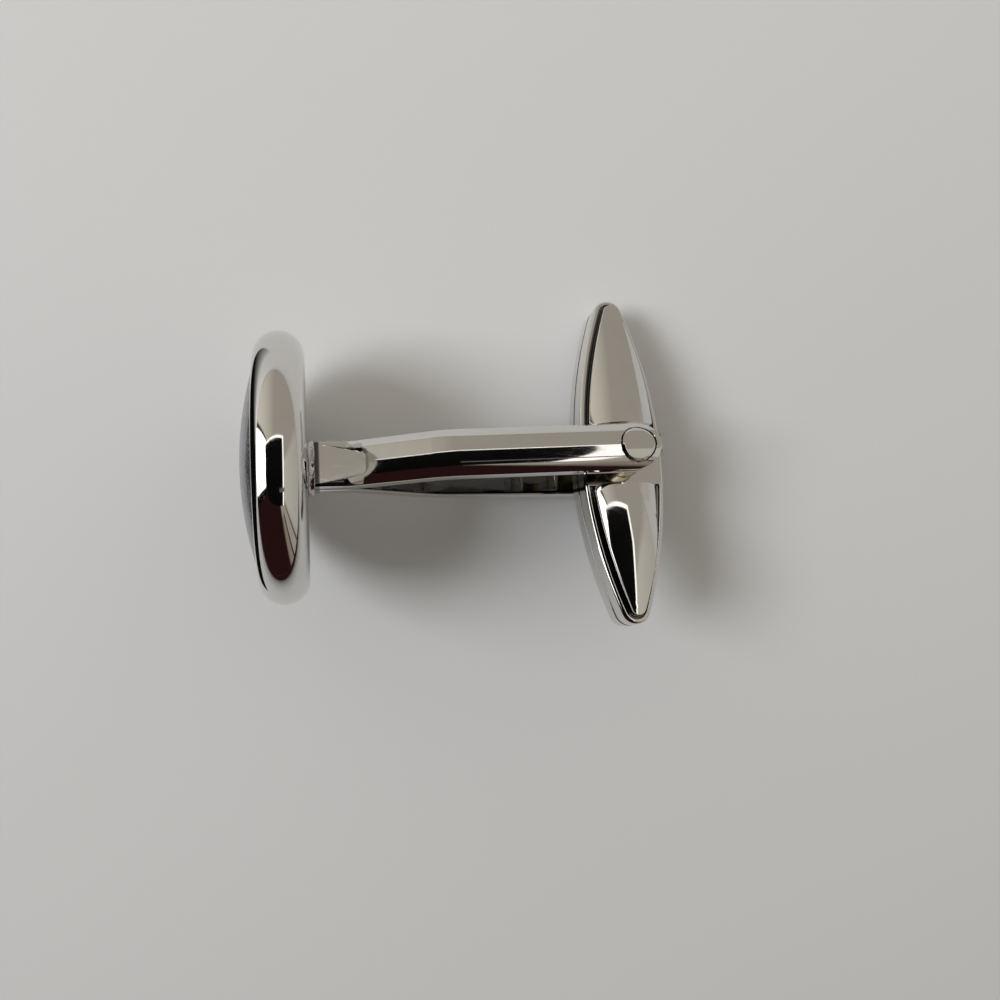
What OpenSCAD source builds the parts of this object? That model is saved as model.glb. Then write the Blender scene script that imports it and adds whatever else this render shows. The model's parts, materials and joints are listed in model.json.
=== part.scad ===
// Swivel-back cufflink. A round head with a domed insert sits on a forked post, and the two arms
// of the fork carry a boat-shaped toggle that turns about a rivet.
// Each piece is drawn along the post: the flat back of the head is the plane x = 0 and its middle
// is the origin, the post runs along +X, and the toggle turns about a line along Z. The whole is
// then laid down about the origin, as it comes to rest on a table: on the head's rim, the end of
// the lower arm and one tip of the toggle, with Z straight up.

/* [Head] */
// Diameter of the head over its rounded rim
head_d = 16; // [14:0.5:20]
// Thickness of the head, from its flat back to the front of the rim
head_t = 2.9; // [2.6:0.1:3.6]
// Width of the lip left between the rounded rim and the insert
lip_w = 0.15; // [0.1:0.05:0.4]
// Thickness of the plate behind the insert
back_t = 1; // [0.8:0.1:1.2]

/* [Insert] */
// Height of the dome in front of the lip
dome_rise = 0.95; // [0.5:0.05:1.4]
// Rounding of the dome's edge
dome_edge_r = 0.35; // [0.2:0.05:0.45]
// Thickness of the adhesive pad behind the insert
pad_t = 0.2; // [0.1:0.05:0.4]
// Width of the seat that the pad leaves uncovered all round
pad_margin = 0.3; // [0.1:0.1:1]
// Gap between the insert and the wall of its seat
insert_gap = 0.04; // [0.02:0.01:0.1]

/* [Foot] */
// Diameter of the soldered foot where it enters the head
foot_d = 3.3; // [3.2:0.1:4]
// Diameter of the foot where the arms stand on it
foot_top_d = 3.2; // [3.1:0.05:3.25]
// Height of the foot above the head's back
foot_h = 0.4; // [0.3:0.05:0.7]
// Depth that the foot is let into the head
foot_sink = 0.3; // [0.2:0.05:0.5]
// Gap between the foot and the wall of its recess
foot_gap = 0.02; // [0.01:0.01:0.05]

/* [Arms] */
// Width of an arm along its blade
arm_w = 2.82; // [2.6:0.02:3]
// Width of an arm where it stands on the foot
arm_root_w = 2.7; // [2.5:0.02:2.74]
// Thickness of an arm at its edges
arm_edge_t = 0.84; // [0.8:0.02:0.94]
// Height of the blade's crown above its edges
arm_crown = 0.66; // [0.62:0.02:0.72]
// Height of the crown on the ramp between the two bends, which the bending leaves a little flatter
ramp_crown = 0.58; // [0.5:0.02:0.6]
// Height of the crown at the root, which the pressing leaves flatter still
root_crown = 0.36; // [0.3:0.02:0.42]
// Distance from the head at which the two arms part
split_x = 2.6; // [2.2:0.1:3]
// Distance from the head at which the arms bend towards parallel
bend_x = 7.9; // [7:0.1:8.5]
// Gap between the two arms at that bend
gap_at_bend = 4.28; // [4:0.02:4.6]
// Gap between the two arms at the rivet
gap_at_rivet = 6; // [5.9:0.05:6.4]

/* [Pressed flat] */
// Distance from the head at which the pressed flat ends
flat_end_x = 3.4; // [3.2:0.1:4]
// Width of the pressed flat at the head's back
flat_root_w = 2.66; // [2.4:0.02:2.7]
// Width of the flat at its far end
flat_w = 1.5; // [1.3:0.05:1.8]
// Depth of the flat below the crown of the root, at the head's back
flat_depth = 0.28; // [0.2:0.02:0.28]
// Angle that the flat rises away from the head
flat_tilt = 3; // [1:0.5:4]
// Rounding of the flat's far corners
flat_corner_r = 0.4; // [0.2:0.05:0.6]

/* [Rivet] */
// Distance from the head's back to the axis of the rivet
rivet_x = 19.05; // [18:0.05:20]
// Diameter of the rivet's shank
rivet_d = 1.6; // [1.4:0.1:1.8]
// Diameter of the rivet's heads
rivet_head_d = 2; // [1.9:0.05:2.2]
// Depth that a rivet head is sunk into an arm
rivet_head_t = 0.5; // [0.4:0.05:0.6]
// Height of the dome on a rivet head, from its edge to its top
rivet_dome_h = 0.28; // [0.2:0.02:0.34]
// Height of that top above the crown of the arm
rivet_rise = 0.04; // [0.02:0.01:0.08]
// Gap between the shank and the hole in an arm
rivet_seat_gap = 0.01; // [0.01:0.01:0.03]
// Gap between a rivet head and the wall of its recess
rivet_head_gap = 0.05; // [0.03:0.01:0.08]

/* [Toggle] */
// Length of the toggle from tip to tip
toggle_l = 20.6; // [19:0.2:22]
// Width of the toggle at its middle
toggle_w = 5.2; // [4.6:0.1:5.4]
// Radius of the toggle's tips
tip_r = 0.95; // [0.9:0.05:1.2]
// Height of the toggle's side walls, both shells together
toggle_wall_h = 2.7; // [2.4:0.1:3]
// Thickness of the toggle over the crowns of its panels
toggle_crown_t = 5.4; // [5.2:0.05:5.5]
// Thickness of the shells' sheet
shell_t = 0.45; // [0.35:0.05:0.5]
// Radius of the bead along the edge of a shell
bead_r = 0.24; // [0.2:0.02:0.28]
// Width of the rim between the edge and the groove
rim_w = 0.3; // [0.26:0.02:0.36]
// Width of the groove round a panel
groove_w = 0.18; // [0.12:0.02:0.24]
// Depth of that groove
groove_depth = 0.25; // [0.15:0.05:0.3]
// Distance between an arm's edge and the end wall of a panel
panel_clear = 0.42; // [0.3:0.02:0.6]
// Depth and half width of the groove along the seam of the shells
seam_groove = 0.06; // [0.04:0.01:0.1]

/* [Hub] */
// Diameter of the hub inside the toggle
hub_d = 2.6; // [2.4:0.1:2.8]
// Running gap between the hub's bore and the rivet
hub_bore_gap = 0.04; // [0.02:0.01:0.08]
// Running gap between the hub's ends and the arms
hub_end_gap = 0.04; // [0.02:0.01:0.1]
// Gap between the hub and the holes in the shells
hub_seat_gap = 0.02; // [0.01:0.01:0.05]

/* [Lying on the table] */
// Angle that the post leans down from the head's back towards the table
lean_angle = 9.3; // [0:0.1:15]
// Angle that the cufflink is rolled about its post, until a tip of the toggle touches the table
roll_angle = 19.4; // [0:0.1:25]

/* [Hidden] */
$fn = 128;
// Overrun of a cutting solid past the face that it cuts
over = 1;

// Head
rim_r = head_t / 2;
rim_mid_r = head_d / 2 - rim_r;
seat_r = rim_mid_r - lip_w;
insert_r = seat_r - insert_gap;
// The dome is a cap of a large ball whose edge is rounded by a small tangent circle
dome_foot_x = -(head_t - dome_edge_r);
dome_front_x = -(head_t + dome_rise);
dome_h = dome_foot_x - dome_front_x;
dome_fillet_x = dome_foot_x;
dome_reach = insert_r - dome_edge_r;
ball_r = (dome_reach * dome_reach + dome_h * dome_h - dome_edge_r * dome_edge_r)
    / (2 * (dome_h - dome_edge_r));
ball_x = dome_front_x + ball_r;
tangent_r = dome_reach * ball_r / (ball_r - dome_edge_r);

// Arms
arm_t = arm_edge_t + arm_crown;
crown_r = (arm_w * arm_w / 4 + arm_crown * arm_crown) / (2 * arm_crown);
half_gap_bend = gap_at_bend / 2;
half_gap_rivet = gap_at_rivet / 2;
ramp_angle = atan(half_gap_bend / (bend_x - split_x));
blade_angle = atan((half_gap_rivet - half_gap_bend) / (rivet_x - bend_x));
arm_end_x = rivet_x + arm_w / 2;
inner_end_z = half_gap_rivet + tan(blade_angle) * (arm_w / 2 + over);
blade_l = (arm_end_x - bend_x) / cos(blade_angle) + 2 * over;
// Height of an arm's crown over the rivet and at the arm's end
crown_at_rivet = half_gap_rivet + arm_t / cos(blade_angle);
crown_at_end = crown_at_rivet + tan(blade_angle) * arm_w / 2;
keel_h = arm_end_x / 2;

// Rivet
rivet_seat_z = crown_at_rivet - rivet_head_t;
// The shank ends inside the heads
shank_end_z = rivet_seat_z + rivet_head_t / 2;
rivet_ball_r = (rivet_head_d * rivet_head_d / 4 + rivet_dome_h * rivet_dome_h) / (2 * rivet_dome_h);

// Toggle: each side of its outline is a large arc that runs into the round tips
side_r = (toggle_w * toggle_w / 4 + pow(toggle_l / 2 - tip_r, 2) - tip_r * tip_r)
    / (toggle_w - 2 * tip_r);
side_c = side_r - toggle_w / 2;
tip_y = toggle_l / 2 - tip_r;
tip_angle = atan(tip_y / side_c);
wall_h = toggle_wall_h / 2;
panel_start_y = arm_w / 2 + panel_clear;
panel_inset = rim_w + groove_w;
// The panels are cut from a spindle along the toggle: its crest runs from the crown at the middle
// down to the height of the wall at the tips
panel_half_w = toggle_w / 2 - panel_inset;
crest_h = toggle_crown_t / 2;
spindle_r = (panel_half_w * panel_half_w + pow(crest_h - wall_h, 2)) / (2 * (crest_h - wall_h));
spindle_z = crest_h - spindle_r;
spindle_drop = crest_h - wall_h;
spindle_arc_r = (toggle_l * toggle_l / 4 + spindle_drop * spindle_drop) / (2 * spindle_drop);
hub_r = hub_d / 2;
hub_h = half_gap_rivet - hub_r * tan(blade_angle) - hub_end_gap;

// Lays what it is given down about the origin, as the cufflink rests on a table
module laid_down() {
    rotate([0, lean_angle, 0]) rotate([-roll_angle, 0, 0])
        children();
}

// Turns an outline, drawn as radius and place along the post, round the axis of the post
module turned() {
    rotate([0, 90, 0])
        rotate_extrude()
            children();
}

// Cup of the head: a half-round rim, a flat back with a recess for the foot, and an open front
module head_cup() {
    laid_down() color("silver") turned() difference() {
        union() {
            translate([0, -head_t])
                square([rim_mid_r, head_t]);
            translate([rim_mid_r, -rim_r])
                circle(rim_r);
        }
        translate([-over, -head_t - over])
            square([seat_r + over, head_t - back_t + over]);
        translate([-over, -foot_sink])
            square([foot_d / 2 + foot_gap + over, foot_sink + over]);
    }
}

// Domed insert of the head
module front_insert() {
    laid_down() color("lightslategray") turned() union() {
        translate([0, dome_foot_x])
            square([insert_r, -back_t - pad_t - dome_foot_x]);
        translate([dome_reach, dome_fillet_x])
            circle(dome_edge_r);
        intersection() {
            translate([0, ball_x])
                circle(ball_r);
            translate([0, dome_front_x])
                square([tangent_r, dome_h]);
        }
    }
}

// Adhesive pad between the insert and the bottom of its seat
module insert_pad() {
    laid_down() color("dimgray") translate([-back_t - pad_t, 0, 0]) rotate([0, 90, 0])
        cylinder(h = pad_t, r = seat_r - pad_margin);
}

// Foot that the arms are soldered to, let into the head's back
module post_foot() {
    laid_down() color("slategray") rotate([0, 90, 0]) union() {
        translate([0, 0, -foot_sink])
            cylinder(h = foot_sink, r = foot_d / 2);
        cylinder(h = foot_h, r1 = foot_d / 2, r2 = foot_top_d / 2);
    }
}

// Bar along +X whose top is the crown of an arm that would lie on the plane z = 0. Its keel, a
// little wider than the arm, reaches down past the other stretches of the arm
module crown_bar(start, end, crown) {
    radius = (arm_w * arm_w / 4 + crown * crown) / (2 * crown);
    keel_w = radius + arm_w / 2;
    translate([start, 0, arm_edge_t + crown - radius]) rotate([90, 0, 90])
        linear_extrude(end - start) {
            circle(radius);
            translate([-keel_w / 2, -keel_h])
                square([keel_w, keel_h]);
        }
}

// Crown of an arm over its three straight stretches: root, ramp and blade
module arm_crowns() {
    crown_bar(0, bend_x, root_crown);
    intersection() {
        translate([split_x, 0, 0]) rotate([0, -ramp_angle, 0])
            crown_bar(-split_x, arm_end_x + over, ramp_crown);
        translate([bend_x, 0, half_gap_bend]) rotate([0, -blade_angle, 0])
            crown_bar(-bend_x, blade_l, arm_crown);
    }
}

// Side view of the room on the outer side of an arm's inner faces, which bend twice
module inner_faces() {
    polygon([
        [foot_h, 0], [split_x, 0], [bend_x, half_gap_bend], [arm_end_x + over, inner_end_z],
        [arm_end_x + over, crown_at_end + over], [foot_h, crown_at_end + over]
    ]);
}

// Outline of an arm seen along the rivet: narrower at the foot, round about the rivet
module arm_outline() {
    polygon([
        [foot_h, -arm_root_w / 2], [bend_x, -arm_w / 2], [rivet_x, -arm_w / 2],
        [rivet_x, arm_w / 2], [bend_x, arm_w / 2], [foot_h, arm_root_w / 2]
    ]);
    translate([rivet_x, 0])
        circle(arm_w / 2);
}

// Outline of the pressed flat: it narrows from the head's back to its two rounded corners
module flat_outline() {
    polygon([
        [0, -flat_root_w / 2], [flat_end_x - flat_corner_r, -flat_w / 2],
        [flat_end_x - flat_corner_r, flat_w / 2], [0, flat_root_w / 2]
    ]);
    translate([0, -flat_w / 2 + flat_corner_r])
        square([flat_end_x, flat_w - 2 * flat_corner_r]);
    for (side = [-1, 1])
        translate([flat_end_x - flat_corner_r, side * (flat_w / 2 - flat_corner_r)])
            circle(flat_corner_r);
}

// One arm, on the +Z side of the fork
module arm() {
    difference() {
        intersection() {
            arm_crowns();
            translate([0, arm_w / 2, 0]) rotate([90, 0, 0])
                linear_extrude(arm_w)
                    inner_faces();
            linear_extrude(crown_at_end + over)
                arm_outline();
        }
        translate([0, 0, arm_edge_t + root_crown - flat_depth]) rotate([0, -flat_tilt, 0])
            linear_extrude(crown_at_end)
                flat_outline();
        translate([rivet_x, 0, 0]) {
            cylinder(h = crown_at_end + over, r = rivet_d / 2 + rivet_seat_gap);
            translate([0, 0, rivet_seat_z])
                cylinder(h = crown_at_end, r = rivet_head_d / 2 + rivet_head_gap);
        }
    }
}

module upper_arm() {
    laid_down() color("gainsboro")
        arm();
}

module lower_arm() {
    laid_down() color("darkgray") mirror([0, 0, 1])
        arm();
}

// Domed head of the rivet, on the +Z side
module rivet_head() {
    translate([0, 0, rivet_seat_z]) intersection() {
        cylinder(h = rivet_head_t + rivet_rise, r = rivet_head_d / 2);
        translate([0, 0, rivet_head_t + rivet_rise - rivet_ball_r])
            sphere(rivet_ball_r);
    }
}

// Rivet through both arms and the hub, with a head sunk in each arm
module pivot_rivet() {
    laid_down() color("lightgray") translate([rivet_x, 0, 0]) union() {
        translate([0, 0, -shank_end_z])
            cylinder(h = 2 * shank_end_z, r = rivet_d / 2);
        rivet_head();
        mirror([0, 0, 1])
            rivet_head();
    }
}

// Hub inside the toggle: a bush that runs on the rivet between the arms
module toggle_hub() {
    laid_down() color("tan") translate([rivet_x, 0, -hub_h]) difference() {
        cylinder(h = 2 * hub_h, r = hub_r);
        translate([0, 0, -over])
            cylinder(h = 2 * (hub_h + over), r = rivet_d / 2 + hub_bore_gap);
    }
}

// Outline of the toggle, drawn in by a given width
module boat(inset) {
    intersection() {
        translate([-side_c, 0])
            circle(side_r - inset);
        translate([side_c, 0])
            circle(side_r - inset);
        square([toggle_w, 2 * (side_r - inset) * sin(tip_angle)], center = true);
    }
    for (end = [-1, 1])
        translate([0, end * tip_y])
            circle(tip_r - inset);
}

// Bead that rounds the edge of a shell all the way round
module edge_bead() {
    translate([0, 0, wall_h - bead_r]) {
        for (side = [0, 180])
            rotate(side) {
                translate([-side_c, 0, 0]) rotate(-tip_angle)
                    rotate_extrude(angle = 2 * tip_angle)
                        translate([side_r - bead_r, 0])
                            circle(bead_r);
                translate([0, tip_y, 0]) rotate(tip_angle)
                    rotate_extrude(angle = 180 - 2 * tip_angle)
                        translate([tip_r - bead_r, 0])
                            circle(bead_r);
            }
    }
}

// Spindle along the toggle, drawn in by a given thickness
module spindle(inset) {
    translate([0, 0, spindle_z]) rotate([90, 0, 0])
        rotate_extrude()
            intersection() {
                translate([spindle_r - spindle_arc_r, 0])
                    circle(spindle_arc_r - inset);
                translate([0, -toggle_l / 2])
                    square([spindle_r, toggle_l]);
            }
}

// The two crowned panels, or the hollows under them
module panels(inset, start_y, bottom_z) {
    intersection() {
        spindle(inset);
        translate([0, 0, bottom_z])
            linear_extrude(crest_h)
                boat(panel_inset + inset);
        for (end = [-1, 1])
            translate([-toggle_w / 2, end > 0 ? start_y : -toggle_l / 2 - start_y, 0])
                cube([toggle_w, toggle_l / 2, crest_h]);
    }
}

// Channel cut round both panels: the space between the rim and the middle of the toggle
module panel_channel() {
    difference() {
        translate([0, 0, wall_h - groove_depth])
            linear_extrude(crest_h)
                boat(rim_w);
        translate([-toggle_w / 2, -panel_start_y, 0])
            cube([toggle_w, 2 * panel_start_y, toggle_l]);
    }
}

// One shell of the toggle, on the +Z side, with its middle on the rivet's axis
module shell() {
    hollow_h = wall_h - groove_depth - shell_t;
    difference() {
        union() {
            difference() {
                union() {
                    linear_extrude(seam_groove)
                        boat(seam_groove);
                    translate([0, 0, seam_groove])
                        linear_extrude(wall_h - bead_r - seam_groove)
                            boat(0);
                    translate([0, 0, wall_h - bead_r])
                        linear_extrude(bead_r)
                            boat(bead_r);
                    edge_bead();
                }
                panel_channel();
            }
            panels(0, panel_start_y, wall_h - groove_depth);
        }
        linear_extrude(hollow_h)
            boat(shell_t);
        panels(shell_t, panel_start_y + shell_t, 0);
        cylinder(h = crest_h, r = hub_r + hub_seat_gap);
    }
}

module upper_shell() {
    laid_down() color("whitesmoke") translate([rivet_x, 0, 0])
        shell();
}

module lower_shell() {
    laid_down() color("silver") translate([rivet_x, 0, 0]) mirror([0, 0, 1])
        shell();
}

head_cup();
front_insert();
insert_pad();
post_foot();
upper_arm();
lower_arm();
pivot_rivet();
toggle_hub();
upper_shell();
lower_shell();
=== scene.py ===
"""Swivel-back cufflink on a pale table: the plated head with its glazed insert, the soldered foot,
the two half-round arms of the fork, the rivet and the boat-shaped toggle of two pressed shells.

Every piece is worked out along the post, in the cufflink's own axes: X along the post from the
head's flat back, Z along the rivet, Y across both. It is then laid down as the packed model lies.
"""
import json
import math
import bpy
import numpy as np
from mathutils import Matrix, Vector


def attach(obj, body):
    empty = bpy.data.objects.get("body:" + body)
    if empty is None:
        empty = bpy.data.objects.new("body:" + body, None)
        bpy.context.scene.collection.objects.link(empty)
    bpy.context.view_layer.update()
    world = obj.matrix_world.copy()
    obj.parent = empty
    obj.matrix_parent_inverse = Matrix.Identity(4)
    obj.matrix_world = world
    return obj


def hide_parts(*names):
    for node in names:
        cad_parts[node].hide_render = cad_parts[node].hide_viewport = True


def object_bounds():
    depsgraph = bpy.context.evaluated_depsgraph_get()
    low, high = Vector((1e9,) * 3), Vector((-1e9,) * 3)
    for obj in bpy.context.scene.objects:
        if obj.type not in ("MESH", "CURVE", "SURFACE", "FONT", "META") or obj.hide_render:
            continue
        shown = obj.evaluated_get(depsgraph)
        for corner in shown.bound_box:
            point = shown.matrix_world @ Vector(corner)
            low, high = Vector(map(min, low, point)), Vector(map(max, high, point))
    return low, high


bl_info = {
    "name": "Swivel-back cufflink",
    "version": (1, 0, 0),
    "blender": (4, 5, 0),
    "location": "3D view > Sidebar > Cufflink",
    "description": "Makes the plated pieces of a cufflink and the table that it lies on",
    "category": "Add Mesh",
}

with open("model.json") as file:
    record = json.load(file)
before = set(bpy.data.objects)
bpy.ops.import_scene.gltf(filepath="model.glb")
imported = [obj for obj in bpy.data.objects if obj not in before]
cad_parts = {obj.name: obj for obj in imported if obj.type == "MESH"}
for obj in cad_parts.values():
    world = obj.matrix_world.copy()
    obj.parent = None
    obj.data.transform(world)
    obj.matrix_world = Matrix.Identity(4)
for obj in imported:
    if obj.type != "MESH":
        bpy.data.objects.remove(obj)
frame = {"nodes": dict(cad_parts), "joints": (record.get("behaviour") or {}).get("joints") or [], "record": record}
CAD_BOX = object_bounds()
MM = 0.001
RECORD = frame["record"]
FINISH = {m["slot"]: m["base_color"] for m in RECORD["materials"]}


# Sizes and colours

def length(name, value, text):
    """Property for a length that is written here in millimetres."""
    return bpy.props.FloatProperty(name=name, default=value * MM, unit="LENGTH", precision=6,
                                   description=text)


def tint(name, value, text):
    """Property for a plain colour."""
    return bpy.props.FloatVectorProperty(name=name, default=value, size=3, min=0, max=1, subtype="COLOR",
                                         description=text)


def amount(name, value, text, top=10.0):
    """Property for a plain number."""
    return bpy.props.FloatProperty(name=name, default=value, min=0, max=top, description=text)


class HeadSizes(bpy.types.PropertyGroup):
    """Sizes of the head and the foot behind it."""
    radius: length("Radius", 8.0, "Radius of the head over its rounded rim")
    thick: length("Thickness", 2.9, "From the flat back to the front of the rim")
    lip: length("Lip", 0.15, "Width of the lip between the rim and the insert")
    back: length("Back", 1.0, "Thickness of the plate behind the insert")
    edge: length("Edge", 0.05, "Rounding of the cup's sharper edges")
    dome: length("Dome", 0.95, "Height of the insert's dome in front of the lip")
    dome_edge: length("Dome edge", 0.35, "Rounding of the dome's edge")
    insert_gap: length("Insert gap", 0.04, "Gap round the insert")
    pad: length("Pad", 0.2, "Thickness of the pad behind the insert")
    foot: length("Foot radius", 1.65, "Radius of the foot in the head's back")
    foot_top: length("Foot top radius", 1.6, "Radius of the foot under the arms")
    foot_high: length("Foot height", 0.4, "Height of the foot above the back, where the arms start")
    foot_sunk: length("Foot depth", 0.3, "Depth that the foot is let into the head")
    solder: length("Solder", 0.3, "Width of the solder round the foot")


class ForkSizes(bpy.types.PropertyGroup):
    """Sizes of the two arms and the rivet."""
    width: length("Width", 2.82, "Width of an arm along its blade")
    root_width: length("Root width", 2.7, "Width of an arm on the foot")
    edge: length("Edge thickness", 0.84, "Thickness of an arm at its edges")
    crown: length("Crown", 0.66, "Height of the blade's crown above its edges")
    ramp_crown: length("Ramp crown", 0.58, "Height of the crown between the two bends")
    root_crown: length("Root crown", 0.36, "Height of the crown at the root")
    split: length("Split", 2.6, "Distance from the head at which the arms part")
    bend: length("Bend", 7.9, "Distance from the head at which the arms turn towards parallel")
    gap_bend: length("Gap at the bend", 4.28, "Gap between the arms at that bend")
    gap_rivet: length("Gap at the rivet", 6.0, "Gap between the arms at the rivet")
    rounding: length("Rounding", 0.07, "Rounding of an arm's edges")
    flat_end: length("Flat end", 3.4, "Distance from the head at which the pressed flat ends")
    flat_root: length("Flat root width", 2.66, "Width of the pressed flat at the head's back")
    flat_width: length("Flat width", 1.5, "Width of the flat at its far end")
    flat_depth: length("Flat depth", 0.28, "Depth of the flat below the crown of the root")
    flat_tilt: amount("Flat tilt", 3.0, "Angle that the flat rises away from the head, in degrees")
    # Painted shade on the arms' inner faces in the slot
    slot_painted_shade: amount("Slot tone", 0.6, "How dark the arms' inner faces are", 1.0)
    # Painted shade in a line beside the solder: where it ends
    painted_solder_shade_end: length("Solder line", 0.6, "Where the dark line beside the solder ends")
    flat_corner: length("Flat corner", 0.4, "Rounding of the flat's far corners")
    rivet_x: length("Rivet place", 19.05, "Distance from the head's back to the rivet's axis")
    shank: length("Shank radius", 0.8, "Radius of the rivet's shank")
    rivet_head: length("Rivet head radius", 1.0, "Radius of a rivet head")
    rivet_gap: length("Rivet gap", 0.05, "Gap round a rivet head")
    rivet_sunk: length("Rivet depth", 0.5, "Depth that a rivet head is sunk in an arm")
    rivet_dome: length("Rivet dome", 0.28, "Height of a rivet head's dome")
    rivet_rise: length("Rivet rise", 0.04, "Height of its top above the crown")


class ToggleSizes(bpy.types.PropertyGroup):
    """Sizes of the toggle and the hub inside it."""
    long: length("Length", 20.6, "From tip to tip")
    wide: length("Width", 5.2, "Width at the middle")
    tip: length("Tip radius", 0.95, "Radius of the tips")
    wall: length("Wall", 1.35, "Height of one shell's side wall")
    crest: length("Crest", 2.7, "Height of a panel's crest above the seam")
    shoulder: length("Shoulder", 0.35, "Height of a panel's edge above the rim")
    dish: length("Dish", 0.28, "Depth that one wing is dished beside the arm")
    dish_reach: length("Dish reach", 4.0, "How far that goes along the wing")
    dish_slant: amount("Dish slant", 1.1, "How much further it goes on the side away from the head")
    near_power: amount("Near crest power", 2.4, "Power of the near crest's fall towards the tips")
    bead: length("Bead", 0.24, "Radius of the bead along the edge")
    rim: length("Rim", 0.3, "Width of the rim outside the groove")
    groove: length("Groove", 0.18, "Width of the groove round a panel")
    groove_deep: length("Groove depth", 0.25, "Depth of that groove")
    panel_start: length("Panel start", 1.83, "Distance of a panel's end wall from the rivet's axis")
    corner: length("Panel corner", 0.3, "Rounding of a panel's corners")
    seam: length("Seam groove", 0.1, "Depth and half width of the groove along the seam")
    sheet: length("Sheet", 0.45, "Thickness of a shell's sheet")
    hub: length("Hub radius", 1.3, "Radius of the hub")
    hub_half: length("Hub half height", 2.86, "Half of the hub's height")
    hub_gap: length("Hub gap", 0.02, "Gap between the hub and the shells")
    bore: length("Bore radius", 0.84, "Radius of the hub's bore")


class FinishColours(bpy.types.PropertyGroup):
    """Colours and wear of the finishes."""
    plating: tint("Plating", FINISH["plated_arms"], "Polished plating")
    insert: tint("Insert", (0.035, 0.037, 0.045), "Darker part of the insert's mottling")
    insert_pale: tint("Insert, pale", (0.14, 0.14, 0.155), "Paler part of the insert's mottling")
    solder: tint("Solder", FINISH["solder_collar"], "Plated solder of the foot")
    hub: tint("Hub", FINISH["hub"], "Turned brass of the hub")
    pad: tint("Pad", (0.05, 0.05, 0.055), "Adhesive pad")
    gloss: amount("Gloss", 0.035, "Roughness of the polished plating", 1.0)
    ripple: amount("Ripple", 0.5, "Depth of the plating's faint ripple, in thousandths of a millimetre")


class StageSettings(bpy.types.PropertyGroup):
    """Table, light and camera."""
    table: tint("Table", (0.80, 0.815, 0.86), "Colour of the table")
    air: tint("Room light", (0.355, 0.33, 0.275), "Room light on dull surfaces")
    key: amount("Soft light", 1.25, "Light that the soft light gives the table", 100.0)
    air_strength: amount("Room light's strength", 3.2, "How strong it is from due north")
    # Painted shade on the table to the south
    south_painted_shade: amount("South tone", 0.845, "Share of the table's tone that it has to the south", 1.0)
    key_rise: amount("Soft light's rise", 46.0, "Its angle above the table, in degrees", 90.0)
    key_away: amount("Soft light's distance", 0.6, "Distance of the soft light, in metres")
    window: amount("Window", 3.0, "Brightness of the window that the metal shows", 100.0)
    wall_north: tint("North wall", (0.353, 0.326, 0.281), "Tone of the room to the north")
    wall_east: tint("East wall", (0.45, 0.43, 0.375), "Tone of the room to the east")
    south: tint("South", (0.021, 0.0071, 0.0071), "Tone of the room to the south")
    dark: tint("Overhead", (0.003, 0.003, 0.003), "Tone of the room overhead")
    lens: bpy.props.FloatProperty(name="Focal length", default=33.41, min=1, unit="CAMERA",
                                  description="Focal length of the camera")


GROUPS = (("cufflink_head", HeadSizes), ("cufflink_fork", ForkSizes), ("cufflink_toggle", ToggleSizes),
          ("cufflink_finish", FinishColours), ("cufflink_stage", StageSettings))


def settings(*names):
    """The scene's values of some groups."""
    return [getattr(bpy.context.scene, "cufflink_" + name) for name in names]


# Own axes

def own_axes():
    """Directions of the cufflink's own X, Y and Z as columns: X is the axis of the cuff's mount, Z the
    axis of the toggle's joint."""
    along = np.array(next(m["axis"] for m in RECORD["mounts"] if m["name"] == "cuff_face"), float)
    turn = np.array(frame["joints"][0]["axis"], float)
    turn -= along * (along @ turn)
    turn /= np.linalg.norm(turn)
    return np.stack([along, np.cross(turn, along), turn], 1)


def laid_down(points):
    """Points in own axes, carried to where the packed cufflink lies."""
    return np.asarray(points, float).reshape(-1, 3) @ own_axes().T


# Meshes

def grid_quads(rows, columns, round_rows=False, round_columns=False):
    """Corner numbers of the quads between the points of a grid of rows and columns. Round rows join the
    last row to the first, and round columns the last column to the first."""
    r = np.arange(rows if round_rows else rows - 1)[:, None]
    c = np.arange(columns if round_columns else columns - 1)[None, :]
    r1, c1 = (r + 1) % rows, (c + 1) % columns
    here, there = r * columns, r1 * columns
    quads = np.stack(np.broadcast_arrays(here + c, here + c1, there + c1, there + c), -1)
    return quads.reshape(-1, 4)


def welded(points, quads, reach=2e-8):
    """Joins points closer than the reach, and drops the doubled corners that this leaves, so that a
    pole's quads become triangles. Returns the points, their old numbers, the corners in one row and
    each face's first."""
    keys = np.round(points / reach).astype(np.int64)
    _, kept, back = np.unique(keys, axis=0, return_index=True, return_inverse=True)
    quads = back.reshape(-1)[quads]
    own = quads != np.roll(quads, 1, axis=1)
    own &= ~((quads == np.roll(quads, 2, axis=1)) & (np.arange(4) >= 2))
    count = own.sum(1)
    good = count >= 3
    corners = quads[good][own[good]]
    starts = np.concatenate([[0], np.cumsum(count[good])[:-1]])
    return points[kept], kept, corners, starts


def in_scene(name, data):
    """A new object of the scene."""
    o = bpy.data.objects.new(name, data)
    bpy.context.scene.collection.objects.link(o)
    return o


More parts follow.
